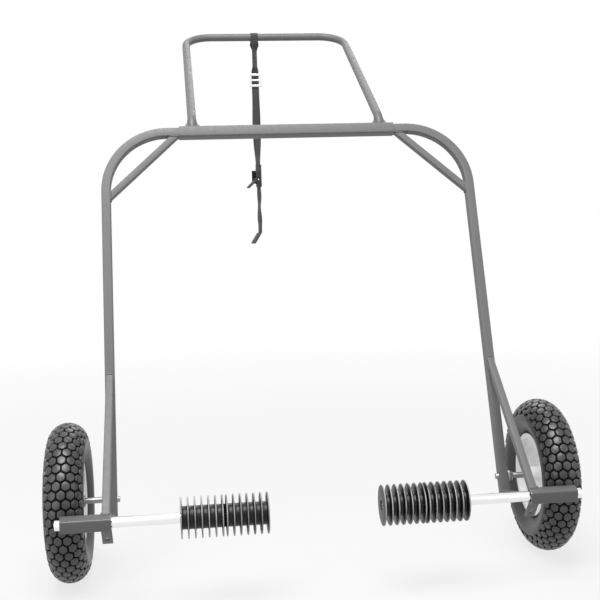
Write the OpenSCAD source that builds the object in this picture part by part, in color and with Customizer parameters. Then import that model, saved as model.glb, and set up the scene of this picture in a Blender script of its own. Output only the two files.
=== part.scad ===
// Two-wheeled game cart: an arch of square tube that straddles the load,
// pneumatic wheels outside the legs, two ribbed carrying arms that point inward,
// a long pull handle and a tie-down strap. The cart leans back on its wheels.
// Frame: X across the cart, +Y to the handle side, +Z up, floor at Z = 0.

/* [Stance] */
// Backward lean of the arch about the axle, degrees
lean = 20; // [5:1:30]

/* [Wheels] */
// Outer diameter of the tyre
tyre_d = 406; // [380:1:430]
// Width of the tyre section
tyre_w = 98; // [92:1:104]
// Thickness of the tyre casing
casing_t = 6; // [5:0.5:8]
// Distance between the tyre centres
track = 1260; // [1240:2:1340]
// Bead seat of the rim below the round of the tyre
bead_drop = 3.5; // [3:0.1:5]
// Width between the rim flanges
rim_w = 62; // [58:1:66]
// Length of the wheel hub
hub_len = 72; // [66:1:80]
// Outer diameter of the hub tube
hub_d = 42; // [40:1:50]
// Outer diameter of a wheel bearing
bearing_d = 35; // [32:1:37]
// Width of a wheel bearing
bearing_w = 11; // [8:1:14]
// Diameter of the axle rod
axle_d = 15.9; // [14:0.1:17]

/* [Arch] */
// Side of the square leg tube
leg_sq = 25.4; // [22:0.1:28]
// Wall of the leg tube
leg_wall = 2; // [1.5:0.5:3]
// Leg centre inside the tyre centre
leg_inset = 108; // [100:1:120]
// Height of the crossbar centre above the axle, along the legs
cross_z = 1024; // [980:2:1080]
// Length of the crossbar sleeve
cross_len = 624; // [600:2:640]
// Wall of the crossbar and arm sleeves
sleeve_wall = 3; // [2.5:0.5:4]
// Straight leg tube between the crossbar's end and the bend
leg_straight = 35; // [32:1:60]
// Length of leg tube held inside the crossbar
leg_insert = 120; // [80:1:160]
// Leg length below the axle
leg_below = 58; // [50:1:64]
// Side of the square brace tubes
brace_sq = 19; // [16:0.5:20]
// Wall of the brace tubes
brace_wall = 1.5; // [1:0.5:2]
// Corner brace on the leg tube, outside the crossbar's end
corner_out = 14; // [14:0.5:18]
// Corner brace on the leg, below its bend
corner_below = 13; // [13:0.5:40]

/* [Handle] */
// Diameter of the handle tube
handle_d = 25.4; // [22:0.1:28]
// Wall of the handle tube
handle_wall = 2; // [1.5:0.5:3]
// Handle upright inside the crossbar's end
handle_inset = 38; // [30:1:57]
// Backward lean of the handle from the arch, degrees
handle_lean = 42; // [30:1:50]
// Length of the handle above its foot bends
handle_len = 697; // [600:1:760]
// Radius of the bend at the handle foot
handle_foot_r = 60; // [50:1:70]
// Radius of the handle corners
handle_corner_r = 85; // [70:1:100]
// Height of the gussets at the handle foot
gusset_h = 36; // [24:1:40]
// Width of a gusset
gusset_w = 20; // [12:1:24]

/* [Carrying arms] */
// Diameter of the arm rod
rod_d = 25.4; // [22:0.1:28]
// Rod centre in front of the axle
arm_fore = 243; // [238:1:252]
// Rod centre below the axle
arm_drop = 72; // [68:1:80]
// Turn of the arm sleeve about the rod, from the legs, degrees
sleeve_turn = 32; // [28:0.5:34]
// Arm sleeve inside the leg centre
sleeve_in = 13; // [12.7:0.1:17]
// Arm sleeve outside the leg centre
sleeve_out = 105; // [88:1:118]
// Where the front brace meets the leg, above the axle
brace_top_z = 310; // [280:1:330]
// Side of the square lower brace
lower_sq = 16; // [14:0.5:16]
// Inner end of the ribbed grips, from the middle of the cart
grip_in_x = 137; // [125:1:150]
// Number of fins on one grip
fin_count = 7; // [5:1:8]
// Spacing of the fins
fin_pitch = 16.3; // [14:0.1:18]
// Thickness of a fin
fin_t = 5; // [4:0.5:6]
// Diameter of the fins
fin_d = 100; // [90:1:104]
// Diameter of the grip core
core_d = 55; // [50:1:60]
// Gap between the two grips on one rod
grip_gap = 5; // [3:0.5:8]
// Rod length that stands out of the sleeve
rod_proud = 13; // [8:1:20]

/* [Tie tabs] */
// Width of the tie tab
tab_w = 25; // [22:0.5:26]
// Thickness of the tie tab
tab_t = 6; // [5:0.5:6]
// Tie tab length below the arm sleeve
tab_len = 56; // [48:1:64]
// Diameter of the hole in the tie tab
tab_hole_d = 10.5; // [8:0.1:12]
// Hole centre from the end of the tab
tab_hole_edge = 18; // [15:0.5:20]

/* [Strap] */
// Width of the webbing
strap_w = 25; // [22:0.5:28]
// Thickness of one layer of webbing
strap_t = 2.2; // [1.8:0.1:2.4]
// Strap place along the handle bar
strap_x = -36; // [-60:1:60]
// Turn of the cam buckle about the hanging strap, degrees
cam_yaw = -65; // [-80:1:-40]
// Depth of the slide top below the bar
slide_top = 125; // [110:1:140]
// Width of the strap slide
slide_w = 42; // [38:1:46]
// Height of the strap slide
slide_h = 46; // [44:1:52]
// Depth of the cam buckle top below the bar
cam_top = 442; // [430:1:460]
// Height of the cam buckle
cam_h = 78; // [72:1:84]
// Length of the webbing below the buckle
tail_len = 158; // [120:1:180]
// Length of the folded strap end
strap_end_len = 52; // [36:1:56]

/* [Hidden] */
$fn = 64;
// Gap between sliding square sections
slide_clear = 0.3;
// Radial clearance of a turning fit
turn_clear = 0.05;
// Radial clearance of a bolt in a drilled hole
hole_clear = 0.2;
// Overrun of a cut past the face that it opens
cut = 20;
// Bolts that lock the sleeves
set_bolt_d = 8;
set_nut_af = 13;
set_nut_h = 7;
set_head_h = 5.5;
set_thread_gap = 4;
cross_bolt_in = 62;
arm_bolt_out = 36;
// Nuts, washers and rings on the axle
axle_nut_af = 24;
axle_stub = 7;
jam_nut_h = 13;
washer_d = 30;
washer_t = 2.5;
ring_d = 22;
ring_t = 1.6;
lock_nut_h = 14;
hub_play = 0.4;
axle_end_proud = 4;
// Closed ends of the legs
plug_t = 3;
plug_depth = 15;
// Rim section
rim_t = 3;
flange_h = 10;
drop_half_w = 10;
drop_depth = 11;
drop_slope = 4;
disc_t = 3;
bead_w = 10.5;
bead_h = 18;
bead_gap = 0.2;
tube_gap = 0.5;
tube_t = 2;
valve_d = 9;
valve_len = 28;
valve_side = 9;
// Handle gusset plates, hollowed between the handle and the crossbar
gusset_t = 4;
gusset_root = 2;
gusset_waist = 0.3;
// Strap fittings
slide_t = 4;
slide_rail = 6;
slide_bar = 8;
slide_mid = 6;
throat = 45;
layers = 2;
cam_plate_w = 30;
cam_plate_t = 3;
cam_wall_t = 3;
cam_wall_top = 20;
cam_wall_h = 46;
cam_wall_out = 16;
cam_pin_d = 5;
cam_pin_out = 9;
cam_pin_drop = 52;
cam_r = 6;
cam_w = 24;
lever_len = 44;
lever_tip_w = 16;
lever_t = 4;
lever_hole_d = 9;
lever_hole_edge = 11;
lever_droop = 40;
end_swing = 36;
end_layers = 3;

// Worked-out sizes
tyre_r = tyre_d / 2;
tyre_mid_r = tyre_r - tyre_w / 2;
bead_r = tyre_r - tyre_w - bead_drop;
wheel_x = track / 2;
leg_x = wheel_x - leg_inset;
leg_bend_r = leg_x - cross_len / 2 - leg_straight;
corner_x = cross_len / 2 + corner_out;
corner_z = cross_z - leg_bend_r - corner_below;
cross_bolt_x = cross_len / 2 - cross_bolt_in;
handle_x = cross_len / 2 - handle_inset;
sleeve_in_x = leg_x - sleeve_in;
sleeve_out_x = leg_x + sleeve_out;
arm_bolt_x = leg_x + arm_bolt_out;
sleeve_sq = leg_sq + 2 * (slide_clear + sleeve_wall);
arm_sleeve_sq = rod_d + 2 * (slide_clear + sleeve_wall);
handle_foot_z = cross_z + sleeve_sq / 2;
handle_bend_y = handle_foot_r * (1 - cos(handle_lean));
handle_bend_z = handle_foot_z + handle_foot_r * sin(handle_lean);
handle_back = handle_bend_y + handle_len * sin(handle_lean);
handle_top_z = handle_bend_z + handle_len * cos(handle_lean);
brace_angle = atan2(arm_fore - leg_sq / 2, brace_top_z + arm_drop);
brace_len = norm([arm_fore - leg_sq / 2, brace_top_z + arm_drop]);
grip_len = (fin_count - 1) * fin_pitch + fin_t;
rod_out_x = sleeve_out_x + rod_proud;
hub_in_x = wheel_x - hub_len / 2;
hub_out_x = wheel_x + hub_len / 2;
leg_face_x = leg_x + leg_sq / 2;
// The lower brace leaves the back of the arm sleeve under the front brace, behind the tie tab
lower_gap = 1.5;
lower_margin = 3;
tab_drop = 8;
brace_lean = 90 - brace_angle - sleeve_turn;
brace_low = tan(brace_lean) * arm_sleeve_sq / 2 - brace_sq / 2 / cos(brace_lean);
lower_under = lower_sq / 2 + lower_gap - brace_low;
lower_start = [-arm_fore + cos(sleeve_turn) * arm_sleeve_sq / 2 + sin(sleeve_turn) * lower_under,
               -arm_drop + sin(sleeve_turn) * arm_sleeve_sq / 2 - cos(sleeve_turn) * lower_under];
lower_end = [-leg_sq / 2, -leg_below + lower_sq / 2 + lower_margin];
lower_angle = atan2(lower_end[1] - lower_start[1], lower_end[0] - lower_start[0]);
lower_len = norm(lower_end - lower_start);
// Places in the leaning frame: the box of the cart is centred on the origin
arm_world_y = -arm_fore * cos(lean) - arm_drop * sin(lean);
bar_world_y = handle_back * cos(lean) + handle_top_z * sin(lean);
front_y = min(arm_world_y - fin_d / 2, -tyre_r);
axle_y = -(front_y + bar_world_y + handle_d / 2) / 2;
bar_y = axle_y + bar_world_y;
bar_z = tyre_r - handle_back * sin(lean) + handle_top_z * cos(lean);
leg_path = [[cross_len / 2 - leg_insert, 0, cross_z], [leg_x, 0, cross_z], [leg_x, 0, -leg_below]];
handle_path = [[handle_x, 0, 0], [handle_x, 0, handle_len], [-handle_x, 0, handle_len], [-handle_x, 0, 0]];

// Vector helpers for bent tubes
function unit(v) = v / norm(v);
function heading(p, i) = unit(p[i + 1] - p[i]);
function corner_normal(p, i) = unit(cross(heading(p, i - 1), heading(p, i)));
function corner_turn(p, i) = acos(heading(p, i - 1) * heading(p, i));
function setback(p, r, i) = (i == 0 || i == len(p) - 1) ? 0 : r[i] * tan(corner_turn(p, i) / 2);

// Puts its children in the frame with origin o and axes x, y and z
module in_frame(o, x, y, z) {
    multmatrix([[x[0], y[0], z[0], o[0]], [x[1], y[1], z[1], o[1]], [x[2], y[2], z[2], o[2]], [0, 0, 0, 1]])
        children();
}

// Sweeps a 2D section along the corners p, rounded to the radii r
module bent_tube(p, r) {
    for (i = [0 : len(p) - 2]) {
        d = heading(p, i);
        n = corner_normal(p, min(max(i, 1), len(p) - 2));
        run = norm(p[i + 1] - p[i]) - setback(p, r, i) - setback(p, r, i + 1);
        in_frame(p[i] + d * setback(p, r, i), n, cross(d, n), d)
            linear_extrude(run) children();
    }
    for (i = [1 : len(p) - 2]) {
        d = heading(p, i - 1);
        n = corner_normal(p, i);
        c = cross(n, d);
        in_frame(p[i] - d * setback(p, r, i) + c * r[i], -c, d, n)
            rotate_extrude(angle = corner_turn(p, i)) translate([r[i], 0]) children();
    }
}

module square_section(side, wall) {
    difference() {
        square(side, center = true);
        square(side - 2 * wall, center = true);
    }
}

module round_section(d, wall) {
    difference() {
        circle(d = d);
        circle(d = d - 2 * wall);
    }
}

// Sweeps a section along +X from one place to another
module along_x(from, to) {
    translate([from, 0, 0]) rotate([90, 0, 90]) linear_extrude(to - from) children();
}

module x_cylinder(from, to, d) {
    translate([from, 0, 0]) rotate([0, 90, 0]) cylinder(d = d, h = to - from);
}

module x_ring(from, to, d, bore) {
    difference() {
        x_cylinder(from, to, d);
        x_cylinder(from - cut, to + cut, bore);
    }
}

// Hexagon prism along +X with its flats af apart
module x_hex(from, to, af) {
    translate([from, 0, 0]) rotate([0, 90, 0]) cylinder(d = af / cos(30), h = to - from, $fn = 6);
}

module on_side(side) {
    if (side < 0) mirror([1, 0, 0]) children();
    else children();
}

module both_sides() {
    children();
    mirror([1, 0, 0]) children();
}

// The welded frame turns about the axle by the lean
module in_cart() {
    translate([0, axle_y, tyre_r]) rotate([-lean, 0, 0]) children();
}

// Arm frame: X along the rod, Z up the front brace
module in_arm() {
    in_cart() translate([0, -arm_fore, -arm_drop]) rotate([-brace_angle, 0, 0]) children();
}

// Arm sleeve frame: X along the rod, Y out of the back of the sleeve
module in_sleeve() {
    in_cart() translate([0, -arm_fore, -arm_drop]) rotate([sleeve_turn, 0, 0]) children();
}

// The space that the arm sleeves fill, as a cutter for what is welded on them
module sleeve_space() {
    in_sleeve() along_x(-sleeve_out_x, sleeve_out_x) square(arm_sleeve_sq, center = true);
}

// Hanging strap frame: origin on the handle bar, Z up
module in_strap() {
    translate([strap_x, bar_y, bar_z]) children();
}

// Cam buckle frame: origin at the top of the buckle, lever side at -Y
module in_buckle() {
    in_strap() translate([0, 0, -cam_top]) rotate([0, 0, cam_yaw]) children();
}

// Everything behind the front face of the legs, as a cutter for what butts on it
module behind_leg_face() {
    translate([-leg_x, -leg_sq / 2, -leg_x]) cube([4 * leg_x, 2 * leg_x, 4 * leg_x]);
}

module crossbar() {
    color("dimgray") in_cart() translate([0, 0, cross_z]) difference() {
        along_x(-cross_len / 2, cross_len / 2) square_section(sleeve_sq, sleeve_wall);
        both_sides() translate([cross_bolt_x, 0, 0]) rotate([-90, 0, 0])
            cylinder(d = set_bolt_d + 2 * hole_clear, h = sleeve_sq);
    }
}

// Weld nut on a sleeve's back face, with the bolt axis along +Y
module weld_nut(face) {
    translate([0, face, 0]) rotate([-90, 0, 0]) difference() {
        cylinder(d = set_nut_af / cos(30), h = set_nut_h, $fn = 6);
        translate([0, 0, -cut]) cylinder(d = set_bolt_d + 2 * hole_clear, h = set_nut_h + 2 * cut);
    }
}

// Set bolt along Y that bears on a tube at tip, with its head behind the weld nut
module set_bolt(tip, face) {
    shank = face + set_nut_h + set_thread_gap - tip;
    translate([0, tip, 0]) rotate([-90, 0, 0]) {
        cylinder(d = set_bolt_d, h = shank);
        translate([0, 0, shank]) cylinder(d = set_nut_af / cos(30), h = set_head_h, $fn = 6);
    }
}

module crossbar_weld_nuts() {
    color("silver") in_cart() both_sides() translate([cross_bolt_x, 0, cross_z]) weld_nut(sleeve_sq / 2);
}

module crossbar_set_bolts() {
    color("silver") in_cart() both_sides() translate([cross_bolt_x, 0, cross_z])
        set_bolt(leg_sq / 2, sleeve_sq / 2);
}

module leg(side) {
    color("gray") in_cart() on_side(side) difference() {
        bent_tube(leg_path, [0, leg_bend_r, 0]) square_section(leg_sq, leg_wall);
        x_cylinder(leg_x - leg_sq, leg_x + leg_sq, axle_d + 2 * hole_clear);
    }
}

module leg_plugs() {
    bore = leg_sq - 2 * leg_wall - hole_clear;
    color("black") in_cart() both_sides() translate([leg_x, 0, -leg_below]) {
        translate([-leg_sq / 2, -leg_sq / 2, -plug_t]) cube([leg_sq, leg_sq, plug_t]);
        translate([-bore / 2, -bore / 2, -plug_t]) cube([bore, bore, plug_t + plug_depth]);
    }
}

module corner_brace(side) {
    low = cross_z - leg_sq / 2;
    inner = leg_x - leg_sq / 2;
    path = [inner - corner_x, low - corner_z];
    color("gray") in_cart() on_side(side) difference() {
        translate([corner_x, 0, low]) rotate([0, atan2(path[1], path[0]), 0])
            along_x(-2 * cut, norm(path) + 2 * cut) square_section(brace_sq, brace_wall);
        translate([0, -cut, low]) cube([leg_x, 2 * cut, 5 * cut]);
        translate([inner, -cut, 0]) cube([5 * cut, 2 * cut, cross_z]);
    }
}

module handle_hoop() {
    radii = [0, handle_corner_r, handle_corner_r, 0];
    color("gray") in_cart() translate([0, handle_bend_y, handle_bend_z]) rotate([-handle_lean, 0, 0]) {
        bent_tube(handle_path, radii) round_section(handle_d, handle_wall);
        for (x = [-handle_x, handle_x])
            in_frame([x, handle_foot_r, 0], [0, -1, 0], [0, 0, -1], [1, 0, 0])
                rotate_extrude(angle = handle_lean) translate([handle_foot_r, 0])
                    round_section(handle_d, handle_wall);
    }
}

// Plates on both sides of each handle foot, leaning with the chord of its bend
module handle_gussets() {
    lean_back = asin(gusset_h / 2 / handle_foot_r);
    waist = gusset_waist * [gusset_w, gusset_h];
    color("gray") in_cart() both_sides() translate([handle_x, 0, handle_foot_z]) difference() {
        rotate([-lean_back, 0, 0]) both_sides() translate([handle_d / 2, gusset_t / 2, 0]) rotate([90, 0, 0])
            linear_extrude(gusset_t)
                polygon([[0, gusset_h], [0, -gusset_root], [gusset_w, -gusset_root], [gusset_w, 0], waist]);
        translate([-handle_x, -cut, -cut]) cube([2 * handle_x, 2 * cut, cut]);
    }
}

module front_brace(side) {
    color("gray") on_side(side) difference() {
        in_arm() translate([leg_x, 0, 0]) linear_extrude(brace_len + cut) square_section(brace_sq, brace_wall);
        in_cart() behind_leg_face();
        sleeve_space();
    }
}

module lower_brace(side) {
    color("gray") on_side(side) difference() {
        in_cart() translate([leg_x, lower_start[0], lower_start[1]]) rotate([lower_angle, 0, 0])
            translate([0, -cut, 0]) rotate([-90, 0, 0])
                linear_extrude(lower_len + 2 * cut) square_section(lower_sq, brace_wall);
        in_cart() behind_leg_face();
        sleeve_space();
    }
}

module arm_sleeve(side) {
    color("dimgray") in_sleeve() on_side(side) difference() {
        along_x(sleeve_in_x, sleeve_out_x) square_section(arm_sleeve_sq, sleeve_wall);
        translate([arm_bolt_x, 0, 0]) rotate([-90, 0, 0])
            cylinder(d = set_bolt_d + 2 * hole_clear, h = arm_sleeve_sq);
    }
}

module tie_tab(side) {
    reach = arm_sleeve_sq / 2 + tab_len;
    color("gray") on_side(side) difference() {
        in_arm() translate([sleeve_in_x, 0, -tab_drop - tab_t / 2]) difference() {
            cube([tab_w, reach, tab_t]);
            translate([tab_w / 2, reach - tab_hole_edge, -cut]) cylinder(d = tab_hole_d, h = 2 * cut + tab_t);
        }
        sleeve_space();
    }
}

module arm_weld_nuts() {
    color("silver") in_sleeve() both_sides() translate([arm_bolt_x, 0, 0]) weld_nut(arm_sleeve_sq / 2);
}

module arm_set_bolts() {
    color("silver") in_sleeve() both_sides() translate([arm_bolt_x, 0, 0])
        set_bolt(rod_d / 2 + slide_clear, arm_sleeve_sq / 2);
}

// Axle rod through the leg, its end a stub on the inner side
module axle(side) {
    color("silver") in_cart() on_side(side)
        x_cylinder(leg_x - leg_sq / 2 - axle_stub, hub_out_x + hub_play + washer_t + lock_nut_h + axle_end_proud,
                   axle_d);
}

module axle_jam_nuts() {
    color("silver") in_cart() both_sides() difference() {
        x_hex(leg_face_x, leg_face_x + jam_nut_h, axle_nut_af);
        x_cylinder(leg_face_x - cut, leg_face_x + jam_nut_h + cut, axle_d + 2 * turn_clear);
    }
}

module axle_snap_rings() {
    face = hub_in_x - hub_play - washer_t;
    color("silver") in_cart() both_sides() x_ring(face - ring_t, face, ring_d, axle_d + 2 * turn_clear);
}

module axle_washers() {
    color("silver") in_cart() both_sides() {
        x_ring(hub_in_x - hub_play - washer_t, hub_in_x - hub_play, washer_d, axle_d + 2 * turn_clear);
        x_ring(hub_out_x + hub_play, hub_out_x + hub_play + washer_t, washer_d, axle_d + 2 * turn_clear);
    }
}

module axle_lock_nuts() {
    face = hub_out_x + hub_play + washer_t;
    color("silver") in_cart() both_sides() difference() {
        x_hex(face, face + lock_nut_h, axle_nut_af);
        x_cylinder(face - cut, face + lock_nut_h + cut, axle_d + 2 * turn_clear);
    }
}

// Turns a section, radius along x and width along y, about the wheel axis
module wheel_turned(side) {
    in_cart() on_side(side) translate([wheel_x, 0, 0]) rotate([0, 90, 0]) rotate_extrude() children();
}

module tyre(side) {
    inner = rim_w / 2 - bead_gap - bead_w;
    color("#2a2a2a") wheel_turned(side) difference() {
        union() {
            translate([tyre_mid_r, 0]) circle(d = tyre_w);
            for (s = [-1, 1])
                translate([bead_r + bead_gap, s * (inner + bead_w / 2) - bead_w / 2]) square([bead_h, bead_w]);
        }
        translate([tyre_mid_r, 0]) circle(d = tyre_w - 2 * casing_t);
        translate([0, -inner]) square([tyre_mid_r, 2 * inner]);
    }
}

module inner_tube(side) {
    color("black") wheel_turned(side) translate([tyre_mid_r, 0])
        round_section(tyre_w - 2 * casing_t - 2 * tube_gap, tube_t);
}

// Drop-centre rim with its disc welded round the hub
module rim(side) {
    half = rim_w / 2;
    low = bead_r - drop_depth;
    knee = drop_half_w + drop_slope;
    outer = [[bead_r + flange_h, half + rim_t], [bead_r + flange_h, half], [bead_r, half], [bead_r, knee],
             [low, drop_half_w]];
    under = [[hub_d / 2, disc_t / 2], [low - rim_t, disc_t / 2], [low - rim_t, drop_half_w + rim_t / 2],
             [bead_r - rim_t, knee + rim_t / 2], [bead_r - rim_t, half + rim_t]];
    color("whitesmoke") wheel_turned(side)
        polygon(concat(outer, [for (i = [4 : -1 : 0]) [outer[i][0], -outer[i][1]]],
                       [for (i = [4 : -1 : 0]) [under[i][0], -under[i][1]]], under));
}

module hub(side) {
    color("whitesmoke") in_cart() on_side(side) x_ring(hub_in_x, hub_out_x, hub_d, bearing_d);
}

module bearings(side) {
    bore = axle_d + 2 * turn_clear;
    color("silver") in_cart() on_side(side) {
        x_ring(hub_in_x, hub_in_x + bearing_w, bearing_d, bore);
        x_ring(hub_out_x - bearing_w, hub_out_x, bearing_d, bore);
    }
}

module valve(side) {
    top = bead_r - drop_depth - rim_t;
    color("black") in_cart() on_side(side) translate([wheel_x + valve_side, 0, top - valve_len])
        cylinder(d = valve_d, h = valve_len);
}

module arm_rod(side) {
    color("gainsboro") in_arm() on_side(side) x_cylinder(grip_in_x + fin_t / 2, rod_out_x, rod_d);
}

// Rubber sleeve with a row of round fins, its first fin at start
module grip(side, start) {
    color("#1c1c1c") in_arm() on_side(side) translate([start, 0, 0]) rotate([0, 90, 0]) rotate_extrude() {
        translate([rod_d / 2, 0]) square([(core_d - rod_d) / 2, grip_len]);
        for (i = [0 : fin_count - 1])
            translate([rod_d / 2, i * fin_pitch]) square([(fin_d - rod_d) / 2, fin_t]);
    }
}

// Webbing looped over the handle bar, drawn together below it
module strap_loop() {
    bore = handle_d / 2 + 2 * turn_clear;
    shoulder = bore + strap_t / 2;
    strand = layers * strap_t / 2;
    color("#333333") in_strap() difference() {
        union() {
            x_cylinder(-strap_w / 2, strap_w / 2, 2 * (bore + strap_t));
            along_x(-strap_w / 2, strap_w / 2)
                polygon([[-shoulder, 0], [shoulder, 0], [strand, -throat], [strand, -slide_top],
                         [-strand, -slide_top], [-strand, -throat]]);
        }
        x_cylinder(-strap_w, strap_w, 2 * bore);
    }
}

// Two-slot slide of plated wire
module strap_slide() {
    slot_w = slide_w - 2 * slide_rail;
    slot_h = (slide_h - 2 * slide_bar - slide_mid) / 2;
    color("silver") in_strap() translate([0, 0, -slide_top - slide_h]) difference() {
        translate([-slide_w / 2, -slide_t / 2, 0]) cube([slide_w, slide_t, slide_h]);
        for (i = [0, 1])
            translate([-slot_w / 2, -cut, slide_bar + i * (slot_h + slide_mid)]) cube([slot_w, 2 * cut, slot_h]);
    }
}

module strap_webbing() {
    thick = layers * strap_t;
    color("#4a4a4a") in_strap() translate([-strap_w / 2, -thick / 2, -cam_top])
        cube([strap_w, thick, cam_top - slide_top - slide_h]);
}

// Buckle frame: a back plate and two cheeks that hold the pin
module cam_buckle() {
    color("#202020") in_buckle() difference() {
        union() {
            translate([-cam_plate_w / 2 - cam_wall_t, 0, -cam_h])
                cube([cam_plate_w + 2 * cam_wall_t, cam_plate_t, cam_h]);
            both_sides() translate([cam_plate_w / 2, -cam_wall_out, -cam_wall_top - cam_wall_h])
                cube([cam_wall_t, cam_wall_out + cam_plate_t, cam_wall_h]);
        }
        translate([0, -cam_pin_out, -cam_pin_drop])
            x_cylinder(-cam_plate_w, cam_plate_w, cam_pin_d);
    }
}

module cam_pin() {
    half = cam_plate_w / 2 + cam_wall_t;
    color("silver") in_buckle() translate([0, -cam_pin_out, -cam_pin_drop]) x_cylinder(-half, half, cam_pin_d);
}

// Cam and thumb tab that turn on the pin
module cam_lever() {
    color("#202020") in_buckle() translate([0, -cam_pin_out, -cam_pin_drop]) rotate([lever_droop, 0, 0]) difference() {
        union() {
            x_cylinder(-cam_w / 2, cam_w / 2, 2 * cam_r);
            translate([0, 0, -lever_t / 2]) linear_extrude(lever_t)
                polygon([[-cam_w / 2, 0], [-lever_tip_w / 2, -lever_len], [lever_tip_w / 2, -lever_len],
                         [cam_w / 2, 0]]);
        }
        x_cylinder(-cam_w, cam_w, cam_pin_d + 2 * turn_clear);
        translate([0, lever_hole_edge - lever_len, -cut]) cylinder(d = lever_hole_d, h = 2 * cut);
    }
}

module strap_tail() {
    color("#333333") in_buckle() translate([-strap_w / 2, 0, -cam_h - tail_len]) cube([strap_w, strap_t, tail_len]);
}

// Webbing folded on itself and sewn at the strap's end
module strap_end() {
    thick = end_layers * strap_t;
    color("#333333") in_buckle() translate([-strap_w / 2, strap_t / 2, -cam_h - tail_len])
        rotate([-end_swing, 0, 0]) translate([0, -thick / 2, -strap_end_len]) cube([strap_w, thick, strap_end_len]);
}

crossbar();
crossbar_weld_nuts();
crossbar_set_bolts();
leg(-1);  // leg_left
leg(1);  // leg_right
leg_plugs();
corner_brace(-1);  // corner_brace_left
corner_brace(1);  // corner_brace_right
handle_hoop();
handle_gussets();
front_brace(-1);  // front_brace_left
front_brace(1);  // front_brace_right
lower_brace(-1);  // lower_brace_left
lower_brace(1);  // lower_brace_right
arm_sleeve(-1);  // arm_sleeve_left
arm_sleeve(1);  // arm_sleeve_right
tie_tab(-1);  // tie_tab_left
tie_tab(1);  // tie_tab_right
arm_weld_nuts();
arm_set_bolts();
axle(-1);  // axle_left
axle(1);  // axle_right
axle_jam_nuts();
axle_snap_rings();
axle_washers();
axle_lock_nuts();
tyre(-1);  // tyre_left
tyre(1);  // tyre_right
inner_tube(-1);  // inner_tube_left
inner_tube(1);  // inner_tube_right
rim(-1);  // rim_left
rim(1);  // rim_right
hub(-1);  // hub_left
hub(1);  // hub_right
bearings(-1);  // bearings_left
bearings(1);  // bearings_right
valve(-1);  // valve_left
valve(1);  // valve_right
arm_rod(-1);  // arm_rod_left
arm_rod(1);  // arm_rod_right
grip(-1, grip_in_x + grip_len + grip_gap);  // grip_outer_left
grip(1, grip_in_x + grip_len + grip_gap);  // grip_outer_right
grip(-1, grip_in_x);  // grip_inner_left
grip(1, grip_in_x);  // grip_inner_right
strap_loop();
strap_slide();
strap_webbing();
cam_buckle();
cam_pin();
cam_lever();
strap_tail();
strap_end();
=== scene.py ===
import math

import bmesh
import bpy
from mathutils import Matrix, Vector


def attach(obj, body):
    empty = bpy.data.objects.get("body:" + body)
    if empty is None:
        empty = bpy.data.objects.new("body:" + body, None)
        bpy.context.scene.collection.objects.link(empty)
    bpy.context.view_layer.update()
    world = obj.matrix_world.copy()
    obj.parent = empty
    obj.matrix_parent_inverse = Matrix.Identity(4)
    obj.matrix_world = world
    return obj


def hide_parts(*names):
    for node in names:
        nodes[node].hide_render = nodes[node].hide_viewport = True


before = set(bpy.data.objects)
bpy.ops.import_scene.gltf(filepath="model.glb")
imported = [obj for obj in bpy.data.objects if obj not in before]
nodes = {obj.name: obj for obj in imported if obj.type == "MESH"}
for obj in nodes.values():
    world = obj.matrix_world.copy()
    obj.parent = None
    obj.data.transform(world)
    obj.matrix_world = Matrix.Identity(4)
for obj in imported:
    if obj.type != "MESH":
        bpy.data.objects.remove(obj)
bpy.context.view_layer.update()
xAxis, yAxis, zAxis = Vector((1, 0, 0)), Vector((0, 1, 0)), Vector((0, 0, 1))
print("frame loaded:", len(nodes), "nodes")

# Local frames, in mm, each placed in the row frame in metres
stance = {"lean": 20, "axleY": -354.529, "axleZ": 203, "braceAngle": 31.0849, "armFore": 243,
          "armDrop": 72, "sleeveTurn": 32}
toMetres = Matrix.Scale(0.001, 4)


def turn(degrees, axis):
    return Matrix.Rotation(math.radians(degrees), 4, axis)


def shift(x, y, z):
    return Matrix.Translation(Vector((x, y, z)))


cart = toMetres @ shift(0, stance["axleY"], stance["axleZ"]) @ turn(-stance["lean"], "X")
arm = cart @ shift(0, -stance["armFore"], -stance["armDrop"]) @ turn(stance["sleeveTurn"], "X")
sides = {"Left": Matrix.Scale(-1, 4, xAxis), "Right": Matrix.Identity(4)}

# Camera, at the photograph's place
view = {
    "place": (-0.3298, -3.0092, 0.9417),
    "right": (0.99246, -0.11927, -0.02814),
    "up": (0.03845, 0.08504, 0.99564),
    "forward": (0.11636, 0.98921, -0.08899),
    "lens": 61.74,
    "sensor": 36,
}


def setCamera():
    data = bpy.data.cameras.new("photoCamera")
    data.lens = view["lens"]
    data.sensor_width = view["sensor"]
    cam = bpy.data.objects.new("photoCamera", data)
    bpy.context.scene.collection.objects.link(cam)
    axes = [Vector(view["right"]), Vector(view["up"]), -Vector(view["forward"])]
    m = Matrix.Identity(4)
    for i, a in enumerate(axes):
        m.col[i] = a.normalized().to_4d()
        m.col[i][3] = 0
    m.translation = Vector(view["place"])
    cam.matrix_world = m
    bpy.context.scene.camera = cam


setCamera()

# Shader helpers


def newMaterial(name):
    made = bpy.data.materials.new(name)
    made.use_nodes = True
    tree = made.node_tree
    tree.nodes.clear()
    out = tree.nodes.new("ShaderNodeOutputMaterial")
    shader = tree.nodes.new("ShaderNodeBsdfPrincipled")
    tree.links.new(shader.outputs[0], out.inputs[0])
    return made, tree, shader


def node(tree, kind, inputs=(), **values):
    made = tree.nodes.new("ShaderNode" + kind)
    for key, value in values.items():
        setattr(made, key, value)
    for key, value in dict(inputs).items():
        if isinstance(value, bpy.types.NodeSocket):
            tree.links.new(value, made.inputs[key])
        else:
            made.inputs[key].default_value = value
    return made


def objectPlace(tree):
    return node(tree, "TexCoord").outputs["Object"]


def noise(tree, place, scale, detail=3.0, rough=0.5):
    made = node(tree, "TexNoise", {"Vector": place, "Scale": scale, "Detail": detail, "Roughness": rough})
    return made.outputs["Fac"]


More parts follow.
